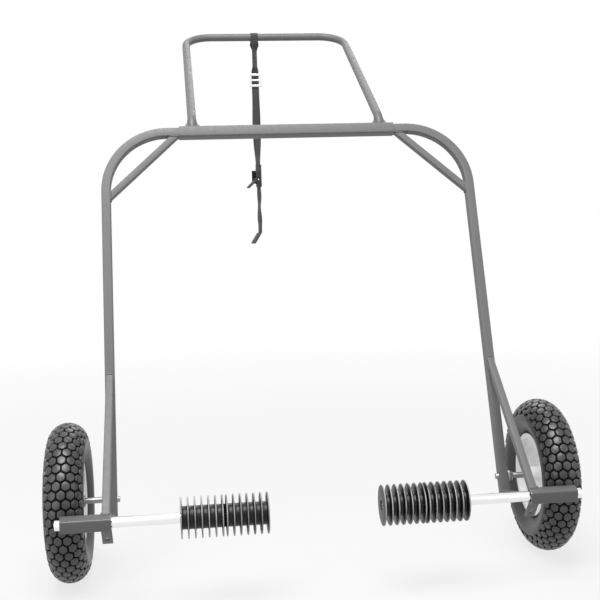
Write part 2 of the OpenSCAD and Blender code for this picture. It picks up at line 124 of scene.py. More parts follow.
def ramp(tree, value, low, high, outLow=0.0, outHigh=1.0):
    made = node(tree, "MapRange", {"Value": value, "From Min": low, "From Max": high,
                                   "To Min": outLow, "To Max": outHigh})
    made.interpolation_type = "SMOOTHSTEP"
    return made.outputs["Result"]


def maths(tree, kind, a, b=0.0):
    return node(tree, "Math", {0: a, 1: b}, operation=kind).outputs[0]


def blendColour(tree, factor, a, b):
    made = node(tree, "Mix", data_type="RGBA")
    for socket, value in ((made.inputs["Factor"], factor), (made.inputs[6], a), (made.inputs[7], b)):
        if isinstance(value, bpy.types.NodeSocket):
            tree.links.new(value, socket)
        elif isinstance(value, (int, float)):
            socket.default_value = value
        else:
            socket.default_value = (*value, 1)
    return made.outputs[2]


def grey(level):
    return (level, level, level)


def bump(tree, shader, height, strength, distance):
    made = node(tree, "Bump", {"Height": height, "Strength": strength, "Distance": distance})
    tree.links.new(made.outputs[0], shader.inputs["Normal"])


noiseSpan = (0.3, 0.7)  # where most of a noise lies


# Roughness that wanders with a noise, from less to more than the middle value
def unevenRough(tree, shader, value, middle, less, more):
    wander = ramp(tree, value, *noiseSpan, middle - less, middle + more)
    tree.links.new(wander, shader.inputs["Roughness"])


# Rays that see the pale background: the camera's own, and those off metal or through glass
def backdropRays(tree):
    path = node(tree, "LightPath").outputs
    return maths(tree, "MAXIMUM", path["Is Camera Ray"],
                 maths(tree, "MAXIMUM", path["Is Glossy Ray"], path["Is Transmission Ray"]))


# Finishes


# Edges that have rubbed bare, found where a rounded normal leaves the face's own
def edgeMask(tree, radius, reach):
    geometry = node(tree, "NewGeometry").outputs["Normal"]
    rounded = node(tree, "Bevel", {"Radius": radius}, samples=6).outputs[0]
    facing = node(tree, "VectorMath", {0: geometry, 1: rounded}, operation="DOT_PRODUCT").outputs["Value"]
    return ramp(tree, facing, 1 - reach, 1.0, 1.0, 0.0)


# What every paint here shares: rubbed edges, scuffs, small chips and a fine orange peel
paintWear = {"edge": 0.0016, "edgeReach": 0.12, "scuffed": (0.5, 0.62), "leastBare": 0.12,
             "chipped": (0.7, 0.74), "chipShare": 0.35, "smoother": 0.05, "rougher": 0.07,
             "peelStrength": 0.04, "peelDeep": 0.00005}


def paintFinish(name, look):
    wear = paintWear
    made, tree, shader = newMaterial(name)
    place = objectPlace(tree)
    cloud = noise(tree, place, look["cloud"], detail=4)
    peel = noise(tree, place, look["peel"], detail=2)
    scuff = noise(tree, place, look["scuff"], detail=6, rough=0.65)
    worn = maths(tree, "MULTIPLY", edgeMask(tree, wear["edge"], wear["edgeReach"]),
                 ramp(tree, scuff, *wear["scuffed"], wear["leastBare"], 1))
    body = blendColour(tree, cloud, grey(look["dark"]), grey(look["light"]))
    speck = noise(tree, place, look["scuff"] * 3, detail=4, rough=0.6)
    chips = ramp(tree, speck, *wear["chipped"])
    marked = blendColour(tree, maths(tree, "MULTIPLY", chips, wear["chipShare"]), body, grey(look["mark"]))
    tree.links.new(blendColour(tree, worn, marked, grey(look["bare"])), shader.inputs["Base Color"])
    unevenRough(tree, shader, scuff, look["rough"], wear["smoother"], wear["rougher"])
    shader.inputs["Specular IOR Level"].default_value = look["gloss"]
    bump(tree, shader, peel, wear["peelStrength"], wear["peelDeep"])
    return made


# What every metal here shares; plating is darker towards the bottom, with the low grey below the first height
# and its own colours above the second
metalWear = {"cloud": 25, "dullHeights": (0.4, 0.9), "lineSpan": (0.25, 0.75), "grainDeep": 0.0001}


def metalFinish(name, look):
    wear = metalWear
    made, tree, shader = newMaterial(name)
    place = objectPlace(tree)
    drawn = node(tree, "Mapping", {"Vector": place, "Scale": look["grain"]}).outputs[0]
    line = noise(tree, drawn, 1.0, detail=4, rough=0.6)
    cloud = noise(tree, place, wear["cloud"], detail=3)
    colour = blendColour(tree, cloud, grey(look["dark"]), grey(look["light"]))
    # Darker towards the bottom: the low grey below the first height, blending to its own colours above the
    # second
    if "dull" in look:
        height = node(tree, "SeparateXYZ", {0: place}).outputs[2]
        colour = blendColour(tree, ramp(tree, height, *wear["dullHeights"]), grey(look["dull"]), colour)
    tree.links.new(colour, shader.inputs["Base Color"])
    tree.links.new(ramp(tree, line, *wear["lineSpan"], look["smooth"], look["rough"]),
                   shader.inputs["Roughness"])
    shader.inputs["Metallic"].default_value = 1.0
    bump(tree, shader, line, look["depth"], wear["grainDeep"])
    return made


# How far a place is from a line along X through the given point
def fromLine(tree, place, point):
    centred = node(tree, "VectorMath", {0: place, 1: point}, operation="SUBTRACT").outputs[0]
    flat = node(tree, "VectorMath", {0: centred, 1: (0, 1, 1)}, operation="MULTIPLY").outputs[0]
    return node(tree, "VectorMath", {0: flat}, operation="LENGTH").outputs["Value"], centred


# What every rubber and plastic here shares, for the paler grey that is dust on rubbed edges and a painted
# highlight on the grips' fin tips
rubberWearAndHighlight = {"cloud": 14, "edgeReach": 0.2, "dusty": (0.3, 0.6), "leastDustAndHighlight": 0.4, "smoother": 0.07,
              "rougher": 0.08, "grainStrength": 0.3, "grainDeep": 0.0003}


def rubberFinish(name, look):
    wear = rubberWearAndHighlight
    made, tree, shader = newMaterial(name)
    place = objectPlace(tree)
    fine = noise(tree, place, look["fine"], detail=4, rough=0.6)
    cloud = noise(tree, place, wear["cloud"], detail=4)
    body = blendColour(tree, cloud, grey(look["dark"]), grey(look["light"]))
    # On the grips the paler grey is a painted highlight on the fin tips; on other rubber and plastic it is
    # dust on rubbed edges
    if "line" in look:  # the tips of the fins, by their distance from the rod
        edges = ramp(tree, fromLine(tree, place, look["line"])[0], *look["tips"])
    else:
        edges = edgeMask(tree, look["edge"], wear["edgeReach"])
    dusty = maths(tree, "MULTIPLY", edges, ramp(tree, cloud, *wear["dusty"], wear["leastDustAndHighlight"], 1))
    tree.links.new(blendColour(tree, dusty, body, grey(look["dust"])), shader.inputs["Base Color"])
    unevenRough(tree, shader, fine, look["rough"], wear["smoother"], wear["rougher"])
    shader.inputs["Specular IOR Level"].default_value = look["gloss"]
    bump(tree, shader, fine, wear["grainStrength"], wear["grainDeep"])
    return made


# How far a place is from a ring of that radius round the axle, in the plane of the wheel's section
def tyreDepth(tree, place, look):
    reach, centred = fromLine(tree, place, look["axle"])
    across = node(tree, "SeparateXYZ", {0: centred}).outputs[0]
    across = maths(tree, "SUBTRACT", maths(tree, "ABSOLUTE", across), look["track"] / 2)
    rise = maths(tree, "SUBTRACT", reach, look["ring"])
    depth = maths(tree, "SQRT", maths(tree, "ADD", maths(tree, "MULTIPLY", across, across),
                                      maths(tree, "MULTIPLY", rise, rise)))
    return depth, rise


# Tyre rubber: the tops of the tread blocks are paler than the grooves between them, partly as scuffing and
# partly as a painted highlight, and the grooves get less shine as painted shade
def tyreFinish(name, look):
    made, tree, shader = newMaterial(name)
    place = objectPlace(tree)
    cloud = noise(tree, place, look["cloud"], detail=4)
    fine = noise(tree, place, look["fine"], detail=3)
    depth, rise = tyreDepth(tree, place, look)
    onTread = ramp(tree, rise, *look["treadRise"])
    top = maths(tree, "MULTIPLY", ramp(tree, depth, *look["blockTop"]), onTread)
    # Paler block tops: scuffing together with a painted highlight
    worn = maths(tree, "MULTIPLY", top, ramp(tree, cloud, *look["patchy"], look["leastPaleTop"], 1))
    side = blendColour(tree, cloud, grey(look["dark"]), grey(look["light"]))
    tree.links.new(blendColour(tree, worn, side, grey(look["scuffed"])), shader.inputs["Base Color"])
    unevenRough(tree, shader, fine, look["rough"], look["uneven"], look["uneven"])
    # Less shine in the grooves: painted shade
    groove = maths(tree, "MULTIPLY", ramp(tree, depth, *look["groove"], 1, 0), onTread)
    shine = ramp(tree, groove, 0, 1, look["gloss"], look["grooveGloss"])
    tree.links.new(shine, shader.inputs["Specular IOR Level"])
    bump(tree, shader, fine, look["grainStrength"], look["grainDeep"])
    return made


# Webbing: ribs across the strap and rows along it, on the strap's own UV map in metres
def webbingFinish(name, look):
    made, tree, shader = newMaterial(name)
    uv = node(tree, "UVMap", uv_map="strapUv").outputs[0]
    angle = (0, 0, math.radians(look["slant"]))
    slant = node(tree, "Mapping", {"Vector": uv, "Rotation": angle}).outputs[0]
    ribs = node(tree, "TexWave", {"Vector": slant, "Scale": look["ribs"], "Distortion": 0.4, "Detail": 1.0},
                bands_direction="Y").outputs["Fac"]
    rows = node(tree, "TexWave", {"Vector": uv, "Scale": look["rows"], "Distortion": 0.2},
                bands_direction="X").outputs["Fac"]
    share = look["rowShare"]
    weave = maths(tree, "MULTIPLY", ribs, maths(tree, "ADD", maths(tree, "MULTIPLY", rows, share), 1 - share))
    cloud = noise(tree, objectPlace(tree), look["cloud"], detail=4)
    body = blendColour(tree, cloud, grey(look["dark"]), grey(look["light"]))
    tree.links.new(blendColour(tree, weave, grey(look["deep"]), body), shader.inputs["Base Color"])
    shader.inputs["Roughness"].default_value = look["rough"]
    shader.inputs["Sheen Weight"].default_value = look["sheen"]
    bump(tree, shader, weave, look["weaveStrength"], look["weaveDeep"])
    return made


# Levels are linear, as the shader takes them, and lengths are in metres
framePaint = paintFinish("framePaint", {
    "dark": 0.1, "light": 0.12, "mark": 0.165, "bare": 0.3, "rough": 0.47, "gloss": 0.45,
    "cloud": 6, "peel": 900, "scuff": 60})
sleevePaint = paintFinish("sleevePaint", {
    "dark": 0.074, "light": 0.094, "mark": 0.2, "bare": 0.4, "rough": 0.34, "gloss": 0.5,
    "cloud": 6, "peel": 900, "scuff": 60})
rimPaint = paintFinish("rimPaint", {
    "dark": 0.86, "light": 0.92, "mark": 0.66, "bare": 0.8, "rough": 0.32, "gloss": 0.5,
    "cloud": 9, "peel": 800, "scuff": 45})
buckleBlack = paintFinish("buckleBlack", {
    "dark": 0.012, "light": 0.02, "mark": 0.05, "bare": 0.22, "rough": 0.38, "gloss": 0.35,
    "cloud": 30, "peel": 1500, "scuff": 160})
rodChrome = metalFinish("rodChrome", {
    "dark": 0.8, "light": 0.9, "smooth": 0.14, "rough": 0.3, "grain": (6, 260, 260), "depth": 0.06})
# Its low grey makes the low pieces darker towards the bottom
zincPlate = metalFinish("zincPlate", {
    "dark": 0.62, "light": 0.76, "dull": 0.3, "smooth": 0.26, "rough": 0.46, "grain": (120, 120, 120),
    "depth": 0.1})
bearingSteel = metalFinish("bearingSteel", {
    "dark": 0.46, "light": 0.6, "smooth": 0.2, "rough": 0.38, "grain": (300, 300, 300), "depth": 0.05})
tyreRubber = tyreFinish("tyreRubber", {
    # The scuffed grey on the block tops is partly a painted highlight; the low groove gloss is painted shade
    "dark": 0.004, "light": 0.008, "scuffed": 0.03, "patchy": (0.3, 0.65), "leastPaleTop": 0.4,
    "rough": 0.38, "uneven": 0.08, "gloss": 0.6, "grooveGloss": 0.06, "cloud": 26, "fine": 700,
    "grainStrength": 0.25, "grainDeep": 0.0003,
    "axle": (0, stance["axleY"] / 1000, stance["axleZ"] / 1000), "track": 1.26, "ring": 0.154,
    "treadRise": (0.006, 0.01), "blockTop": (0.0456, 0.0478), "groove": (0.0456, 0.0476)})
tubeRubber = rubberFinish("tubeRubber", {
    "dark": 0.012, "light": 0.02, "dust": 0.05, "rough": 0.55, "gloss": 0.3, "fine": 500, "edge": 0.0008})
# The grips' fin tips are painted a pale grey as a painted highlight
gripRubber = rubberFinish("gripRubber", {
    "dark": 0.004, "light": 0.008, "dust": 0.34, "rough": 0.4, "gloss": 0.36, "fine": 420,
    "line": arm.translation, "tips": (0.0478, 0.0492)})
plugPlastic = rubberFinish("plugPlastic", {
    "dark": 0.012, "light": 0.018, "dust": 0.06, "rough": 0.5, "gloss": 0.35, "fine": 900, "edge": 0.0008})
strapCloth = webbingFinish("strapCloth", {
    "dark": 0.04, "light": 0.075, "deep": 0.012, "rough": 0.8, "slant": 8, "ribs": 250, "rows": 130,
    "rowShare": 0.6, "cloud": 30, "sheen": 0.25, "weaveStrength": 0.7, "weaveDeep": 0.0006})
print("finishes made")

# Mesh helpers


def squareOutline(side, corner, segments=4):
    bm = bmesh.new()
    bmesh.ops.create_grid(bm, x_segments=1, y_segments=1, size=side / 2)
    bmesh.ops.bevel(bm, geom=bm.verts[:], offset=corner, affect="VERTICES", segments=segments,
                    profile=0.5, material=-1)
    bm.faces.ensure_lookup_table()
    points = [v.co.copy() for v in bm.faces[0].verts]
    bm.free()
    return points


def roundOutline(diameter, segments=32):
    bm = bmesh.new()
    bmesh.ops.create_circle(bm, cap_ends=True, segments=segments, radius=diameter / 2)
    bm.faces.ensure_lookup_table()
    points = [v.co.copy() for v in bm.faces[0].verts]
    bm.free()
    return points


def flatOutline(width, thick, corner, segments=3):
    points = squareOutline(thick, corner, segments)
    grow = (width - thick) / 2
    return [Vector((p.x + math.copysign(grow, p.x), p.y, 0)) for p in points]


# A frame with Z along a path and X as near as can be to the given direction
def frameAt(place, across, along):
    along = along.normalized()
    across = (across - along * across.dot(along)).normalized()
    m = Matrix.Identity(4)
    for i, a in enumerate((across, along.cross(across), along)):
        m.col[i] = (a.x, a.y, a.z, 0)
    m.translation = place
    return m


# Frames along a path of corners, each rounded to its radius
def bentRoute(corners, radii, across, steps):
    corners = [Vector(c) for c in corners]
    head = [(b - a).normalized() for a, b in zip(corners, corners[1:])]
    route = [(corners[0], head[0])]
    for i in range(1, len(corners) - 1):
        a, b = head[i - 1], head[i]
        bend = a.angle(b)
        pivotAxis = a.cross(b).normalized()
        back = radii[i] * math.tan(bend / 2)
        inward = pivotAxis.cross(a)
        pivot = corners[i] - a * back + inward * radii[i]
        for k in range(steps + 1):
            spun = Matrix.Rotation(bend * k / steps, 3, pivotAxis)
            route.append((pivot - spun @ (inward * radii[i]), spun @ a))
    route.append((corners[-1], head[-1]))
    return [frameAt(p, Vector(across), d) for p, d in route]


def vertsOf(made):
    return [g for g in made if isinstance(g, bmesh.types.BMVert)]


# Sweeps a closed outline through frames: its first edges, its last edges and every ring of vertices
def loft(bm, outline, frames):
    verts = [bm.verts.new(frames[0] @ p) for p in outline]
    edges = [bm.edges.new((verts[i - 1], verts[i])) for i in range(len(verts))]
    first, rings = edges, [verts]
    for before, after in zip(frames, frames[1:]):
        made = bmesh.ops.extrude_edge_only(bm, edges=edges)["geom"]
        verts = vertsOf(made)
        fresh = set(verts)
        edges = [g for g in made if isinstance(g, bmesh.types.BMEdge) and set(g.verts) <= fresh]
        bmesh.ops.transform(bm, matrix=after @ before.inverted(), verts=verts)
        rings.append(verts)
    return first, edges, rings


# A tube of two outlines, closed at its ends, and the outer one's rings
def hollow(outer, inner, frames):
    bm = bmesh.new()
    a, b = (loft(bm, outline, frames) for outline in (outer, inner))
    for end in (0, 1):
        bmesh.ops.triangle_fill(bm, use_beauty=True, edges=a[end] + b[end])
    bmesh.ops.recalc_face_normals(bm, faces=bm.faces[:])
    return bm, a[2]


nearAxis = 0.01  # sections of solid pieces start and end this close to their axis


# Turns a closed section, (along the axle, radius) pairs, about X
def lathe(section, steps):
    bm = bmesh.new()
    verts = [bm.verts.new((a, 0, r)) for a, r in section]
    edges = [bm.edges.new((verts[i - 1], verts[i])) for i in range(len(verts))]
    bmesh.ops.spin(bm, geom=verts + edges, cent=(0, 0, 0), axis=xAxis, dvec=(0, 0, 0),
                   angle=2 * math.pi, steps=steps, use_merge=True)
    bmesh.ops.remove_doubles(bm, verts=bm.verts[:], dist=0.001)
    bmesh.ops.recalc_face_normals(bm, faces=bm.faces[:])
    return bm


# Makes a piece of a mesh in mm, or in metres where the place is the identity
def addPiece(name, bm, place, material, body, stands=(), sharp=35):
    bmesh.ops.transform(bm, matrix=place, verts=bm.verts[:])
    if place.determinant() < 0:
        bmesh.ops.reverse_faces(bm, faces=bm.faces[:])
    mesh = bpy.data.meshes.new(name)
    bm.to_mesh(mesh)
    bm.free()
    mesh.materials.append(material)
    mesh.polygons.foreach_set("use_smooth", [True] * len(mesh.polygons))
    mesh.set_sharp_from_angle(angle=math.radians(sharp))
    piece = bpy.data.objects.new(name, mesh)
    bpy.context.scene.collection.objects.link(piece)
    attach(piece, body)
    if stands:
        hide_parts(*stands)
    return piece


# Makes a piece of the welded frame, in its paint
def addPainted(name, bm, place, nodeName, sharp=35):
    return addPiece(name, bm, place, framePaint, "frame", [nodeName], sharp)


def merge(target, extra):
    mesh = bpy.data.meshes.new("scrap")
    extra.to_mesh(mesh)
    extra.free()
    target.from_mesh(mesh)
    bpy.data.meshes.remove(mesh)


# A node's own shape with its edges rounded off
def softened(name, nodeName, offset, material, body, segments=2, angle=32):
    bm = bmesh.new()
    bm.from_mesh(nodes[nodeName].data)
    bmesh.ops.remove_doubles(bm, verts=bm.verts[:], dist=0.00001)
    bmesh.ops.dissolve_limit(bm, angle_limit=math.radians(1), verts=bm.verts[:], edges=bm.edges[:])
    crisp = [e for e in bm.edges if e.is_manifold and e.calc_face_angle() > math.radians(angle)]
    bmesh.ops.bevel(bm, geom=crisp, offset=offset, offset_type="OFFSET", affect="EDGES", segments=segments,
                    profile=0.5, material=-1, clamp_overlap=True)
    return addPiece(name, bm, Matrix.Identity(4), material, body, [nodeName])


# Weld beads, rippled rows of small overlapping scales, with the bead's radius at each kind of joint
weld = {"step": 1.7, "ripple": 0.16, "brace": 2.4, "leg": 2.6, "lower": 2, "handle": 2.6}
weldRoutes = []


# Notes a bead round the end of a tube
def weldRing(verts, place, normal, size):
    points = [v.co.copy() for v in verts]
    centre = sum(points, Vector()) / len(points)
    a = normal.orthogonal().normalized()
    b = normal.cross(a)
    points.sort(key=lambda p: math.atan2((p - centre).dot(b), (p - centre).dot(a)))
    weldRoutes.append(([place @ p for p in points], size))


def buildWelds():
    data = bpy.data.curves.new("weldLines", "CURVE")
    data.dimensions = "3D"
    data.bevel_depth = 0.001  # so that the radius of a point is in mm
    data.bevel_resolution = 2
    for points, size in weldRoutes:
        line = []
        for a, b in zip(points, points[1:] + points[:1]):
            count = max(1, round((b - a).length * 1000 / weld["step"]))
            line += [a.lerp(b, k / count) for k in range(count)]
        spline = data.splines.new("POLY")
        spline.points.add(len(line) - 1)
        spline.use_cyclic_u = True
        for i, (p, q) in enumerate(zip(spline.points, line)):
            p.co = (*q, 1)
            p.radius = size * (1 + weld["ripple"] * (1 if i % 2 else -1))
    shape = bpy.data.objects.new("weldLines", data)
    bpy.context.scene.collection.objects.link(shape)
    mesh = bpy.data.meshes.new_from_object(shape.evaluated_get(bpy.context.evaluated_depsgraph_get()))
    bpy.data.objects.remove(shape)
    bm = bmesh.new()
    bm.from_mesh(mesh)
    bpy.data.meshes.remove(mesh)
    addPiece("weldBeads", bm, Matrix.Identity(4), framePaint, "frame", sharp=60)


# Square tube of the arch, the braces and the sleeves
tubes = {
    "leg": 25.4, "legWall": 2, "legCorner": 3.2, "legX": 522, "legInsert": 120, "legBelow": 58,
    "legBend": 175, "bendSteps": 24, "crossZ": 1024, "crossLen": 624,
    "sleeve": 32, "sleeveWall": 3, "sleeveCorner": 4, "sleeveIn": 509, "sleeveOut": 627,
    "brace": 19, "braceWall": 1.5, "braceCorner": 2.4, "braceTop": 310, "cornerX": 326, "cornerZ": 836,
    "lower": 16, "lowerCorner": 2, "lowerGap": 1.5, "lowerMargin": 3,
    "leastCorner": 0.4, "tabEase": 0.0007, "plugEase": 0.0008,
}


def tubeOutlines(side, wall, corner):
    inside = squareOutline(side - 2 * wall, max(corner - wall, tubes["leastCorner"]))
    return squareOutline(side, corner), inside


# Straight tube whose ends are cut to what they butt on: one face, or two faces over a corner
def strut(outer, inner, start, end, startFaces, endFace):
    start, end = Vector(start), Vector(end)
    along = (end - start).normalized()
    bm = bmesh.new()
    frames = [frameAt(p, xAxis, along) for p in (start, end)]
    loops = [loft(bm, outline, frames) for outline in (outer, inner)]
    for ring, (point, normal) in ((0, startFaces[0]), (1, endFace)):
        for made in loops:
            for v in made[2][ring]:
                v.co += along * ((point - v.co).dot(normal) / along.dot(normal))
    for point, normal in startFaces[1:]:
        for v in loops[0][2][0] + loops[1][2][0]:
            v.co -= along * (max((v.co - point).dot(normal), 0) / along.dot(normal))
    first, second = (made[2][0] for made in loops)
    for i in range(len(first)):
        bm.faces.new((first[i - 1], first[i], second[i], second[i - 1]))
    bmesh.ops.triangle_fill(bm, use_beauty=True, edges=loops[0][1] + loops[1][1])
    bmesh.ops.recalc_face_normals(bm, faces=bm.faces[:])
    return bm, loops[0][2]


def buildArch():
    t = tubes
    legOuter, legInner = tubeOutlines(t["leg"], t["legWall"], t["legCorner"])
    sleeveOuter, sleeveInner = tubeOutlines(t["sleeve"], t["sleeveWall"], t["sleeveCorner"])
    braceOuter, braceInner = tubeOutlines(t["brace"], t["braceWall"], t["braceCorner"])
    ends = [Vector((s * t["crossLen"] / 2, 0, t["crossZ"])) for s in (-1, 1)]
    bm, _ = hollow(sleeveOuter, sleeveInner, [frameAt(p, yAxis, xAxis) for p in ends])
    addPainted("crossbarTube", bm, cart, "crossbar")
    legCorners = [(t["crossLen"] / 2 - t["legInsert"], 0, t["crossZ"]), (t["legX"], 0, t["crossZ"]),
                  (t["legX"], 0, -t["legBelow"])]
    low = t["crossZ"] - t["leg"] / 2
    inner = t["legX"] - t["leg"] / 2
    for side, flip in sides.items():
        place, hand = cart @ flip, side.lower()
        route = bentRoute(legCorners, [0, t["legBend"], 0], yAxis, t["bendSteps"])
        bm, _ = hollow(legOuter, legInner, route)
        addPainted("leg" + side, bm, place, "leg_" + hand)
        bm, rings = strut(braceOuter, braceInner, (t["cornerX"], 0, low), (inner, 0, t["cornerZ"]),
                          [(Vector((0, 0, low)), zAxis)], (Vector((inner, 0, 0)), xAxis))
        weldRing(rings[0], place, zAxis, weld["brace"])
        weldRing(rings[1], place, xAxis, weld["brace"])
        addPainted("cornerBrace" + side, bm, place, "corner_brace_" + hand)


def buildArmCarriers():
    t = tubes
    toCart = cart.inverted() @ arm
    sleeveOuter, sleeveInner = tubeOutlines(t["sleeve"], t["sleeveWall"], t["sleeveCorner"])
    braceOuter, braceInner = tubeOutlines(t["brace"], t["braceWall"], t["braceCorner"])
    lowerOuter, lowerInner = tubeOutlines(t["lower"], t["braceWall"], t["lowerCorner"])
    legFace = (Vector((0, -t["leg"] / 2, 0)), yAxis)
    half = t["sleeve"] / 2
    back, top, under = ((toCart @ (n * half), (toCart.to_3x3() @ n).normalized())
                        for n in (yAxis, zAxis, -zAxis))
    lean = math.radians(90 - stance["braceAngle"] - stance["sleeveTurn"])
    braceHigh = math.tan(lean) * half
    lowerHigh = braceHigh - t["brace"] / 2 / math.cos(lean) - t["lowerGap"] - t["lower"] / 2
    for side, flip in sides.items():
        place, hand = cart @ flip, side.lower()
        ends = [Vector((x, 0, 0)) for x in (t["sleeveIn"], t["sleeveOut"])]
        bm, _ = hollow(sleeveOuter, sleeveInner, [frameAt(p, yAxis, xAxis) for p in ends])
        addPiece("armSleeve" + side, bm, arm @ flip, sleevePaint, "frame",
                 ["arm_sleeve_" + hand])
        foot = toCart @ Vector((t["legX"], half, braceHigh))
        bm, rings = strut(braceOuter, braceInner, foot, (t["legX"], -t["leg"] / 2, t["braceTop"]),
                          [back, top], legFace)
        weldRing(rings[0], place, back[1], weld["brace"])
        weldRing(rings[1], place, yAxis, weld["leg"])
        addPainted("frontBrace" + side, bm, place, "front_brace_" + hand)
        start = toCart @ Vector((t["legX"], half, lowerHigh))
        end = (t["legX"], -t["leg"] / 2, -t["legBelow"] + t["lower"] / 2 + t["lowerMargin"])
        bm, rings = strut(lowerOuter, lowerInner, start, end, [back, under], legFace)
        weldRing(rings[0], place, back[1], weld["lower"])
        weldRing(rings[1], place, yAxis, weld["lower"])
        addPainted("lowerBrace" + side, bm, place, "lower_brace_" + hand)
        softened("tieTab" + side, "tie_tab_" + hand, t["tabEase"], framePaint, "frame")


buildArch()
buildArmCarriers()
softened("legPlugs", "leg_plugs", tubes["plugEase"], plugPlastic, "frame")
print("arch and arm carriers made")

# Pull handle: one round tube with a bend at each foot
handle = {"d": 25.4, "wall": 2, "x": 274, "lean": 42, "length": 697, "footBend": 60, "cornerBend": 85,
          "foot": 1040, "bendSteps": 14, "gussetHigh": 36, "gussetWide": 20, "gussetThick": 4,
          "gussetSunk": 0.8, "gussetInto": 1.5, "gussetStep": 10}


def buildHandle():
    h = handle
    lean = math.radians(h["lean"])
    up = Vector((0, math.sin(lean), math.cos(lean)))
    reach = h["footBend"] * math.tan(lean / 2)
    knee = Vector((0, 0, h["foot"] + reach))
    top = knee + up * (reach + h["length"])
    corners = []
    for s in (1, -1):
        side = xAxis * (s * h["x"])
        run = [Vector((0, 0, h["foot"])) + side, knee + side, top + side]
        corners += run if s > 0 else run[::-1]
    radii = [0, h["footBend"], h["cornerBend"], h["cornerBend"], h["footBend"], 0]
    across = (0.3, -0.8, 0.5)  # a direction that the tube takes nowhere
    frames = bentRoute(corners, radii, across, h["bendSteps"])
    bm, rings = hollow(roundOutline(h["d"]), roundOutline(h["d"] - 2 * h["wall"]), frames)
    weldRing(rings[0], cart, zAxis, weld["handle"])
    weldRing(rings[-1], cart, zAxis, weld["handle"])
    addPainted("handleHoop", bm, cart, "handle_hoop", sharp=50)


# Concave plates on both sides of each foot, leaning back with its bend
def buildGussets():
    h = handle
    edge, wide, high = h["d"] / 2, h["gussetWide"], h["gussetHigh"]
    inside, low = edge - h["gussetInto"], -h["gussetSunk"]
    outline = [(inside, low), (edge + wide, low)]
    for angle in range(0, 91, h["gussetStep"]):
        a = math.radians(angle)
        outline.append((edge + wide * (1 - math.sin(a)), high * (1 - math.cos(a))))
    outline.append((inside, high))
    chord = math.degrees(math.asin(high / 2 / h["footBend"]))
    bm = bmesh.new()
    for s in (1, -1):
        place = shift(s * h["x"], 0, h["foot"]) @ turn(-chord, "X")
        depth = place.to_3x3() @ Vector((0, h["gussetThick"], 0))
        for t in (1, -1):
            spots = [place @ Vector((t * x, -h["gussetThick"] / 2, z)) for x, z in outline]
            face = bm.faces.new([bm.verts.new(p) for p in spots])
            made = bmesh.ops.extrude_face_region(bm, geom=[face])["geom"]
            bmesh.ops.translate(bm, vec=depth, verts=vertsOf(made))
    bmesh.ops.recalc_face_normals(bm, faces=bm.faces[:])
    addPainted("handleGussets", bm, cart, "handle_gussets")


buildHandle()
buildGussets()
buildWelds()
print("handle and welds made")

# Tyre: angles run from the crown, ridges and the bead's outline are seen in section
wheel = {"x": 630, "mid": 154, "round": 49, "steps": 96, "bead": 203 / 2, "rimHalf": 31, "carcass": 44.4,
         "shoulder": 79, "blend": 3, "ridges": {96: 0.7, 108: 0.7, 132: 0.9}, "beadFrom": 11,
         "beadLine": [(1.2, 10.6), (-0.4, 8), (-0.4, 0.6), (-9, 0.6), (-10.5, 12)], "inside": 38,
         "liningFrom": 16, "outerAngles": (0, 150, 6), "liningAngles": (144, -1, -12)}
tread = {"rows": 56, "wide": 20.8, "long": 26.4, "top": 0.93, "corner": 3, "edge": 1.3, "sunk": 1.2,
         "spots": ((-56, -28, 0, 28, 56), (-70, -42, -14, 14, 42, 70)), "lastFrom": 60, "lastNarrow": 0.8,
         "shorten": 186}


def onTyre(r, angle):
    a = math.radians(angle)
    return r * math.sin(a), wheel["mid"] + r * math.cos(a)


# Half of the carcass, down the sidewall, round the bead and back up the lining, then its mirror image
def carcassSection():
    w = wheel
    half = []
    for angle in range(*w["outerAngles"]):
        beyond = angle - w["shoulder"]
        r = w["carcass"] if beyond < -w["blend"] else w["round"]
        if -w["blend"] <= beyond < w["blend"]:
            r = (w["carcass"] + w["round"]) / 2
        half.append(onTyre(r + w["ridges"].get(angle, 0), angle))
    half = [p for p in half if p[1] > w["bead"] + w["beadFrom"]]
    half += [(w["rimHalf"] + x, w["bead"] + y) for x, y in w["beadLine"]]
    lining = [onTyre(w["inside"], angle) for angle in range(*w["liningAngles"])]
    half += [p for p in lining if p[1] > w["bead"] + w["liningFrom"]]
    return half + [(-x, r) for x, r in half[::-1] if x > nearAxis]  # without the middle points again


def treadBlock():
    t = tread
    bm = bmesh.new()
    bmesh.ops.create_circle(bm, cap_ends=True, segments=6, radius=0.5)
    bmesh.ops.scale(bm, vec=(t["wide"] / math.cos(math.radians(30)), t["long"], 1), verts=bm.verts[:])
    bmesh.ops.bevel(bm, geom=bm.verts[:], offset=t["corner"], affect="VERTICES", segments=2, profile=0.5,
                    material=-1)
    made = bmesh.ops.extrude_face_region(bm, geom=bm.faces[:])["geom"]
    top = vertsOf(made)
    height = wheel["round"] - wheel["carcass"] + t["sunk"]
    bmesh.ops.translate(bm, vec=(0, 0, height), verts=top)
    bmesh.ops.scale(bm, vec=(t["top"], t["top"], 1), verts=top)
    lid = next(g for g in made if isinstance(g, bmesh.types.BMFace))
    bmesh.ops.bevel(bm, geom=lid.edges[:], offset=t["edge"], offset_type="OFFSET", affect="EDGES", segments=2,
                    profile=0.5, material=-1)
    bmesh.ops.recalc_face_normals(bm, faces=bm.faces[:])
    mesh = bpy.data.meshes.new("treadBlock")
    bm.to_mesh(mesh)
    bm.free()
    return mesh


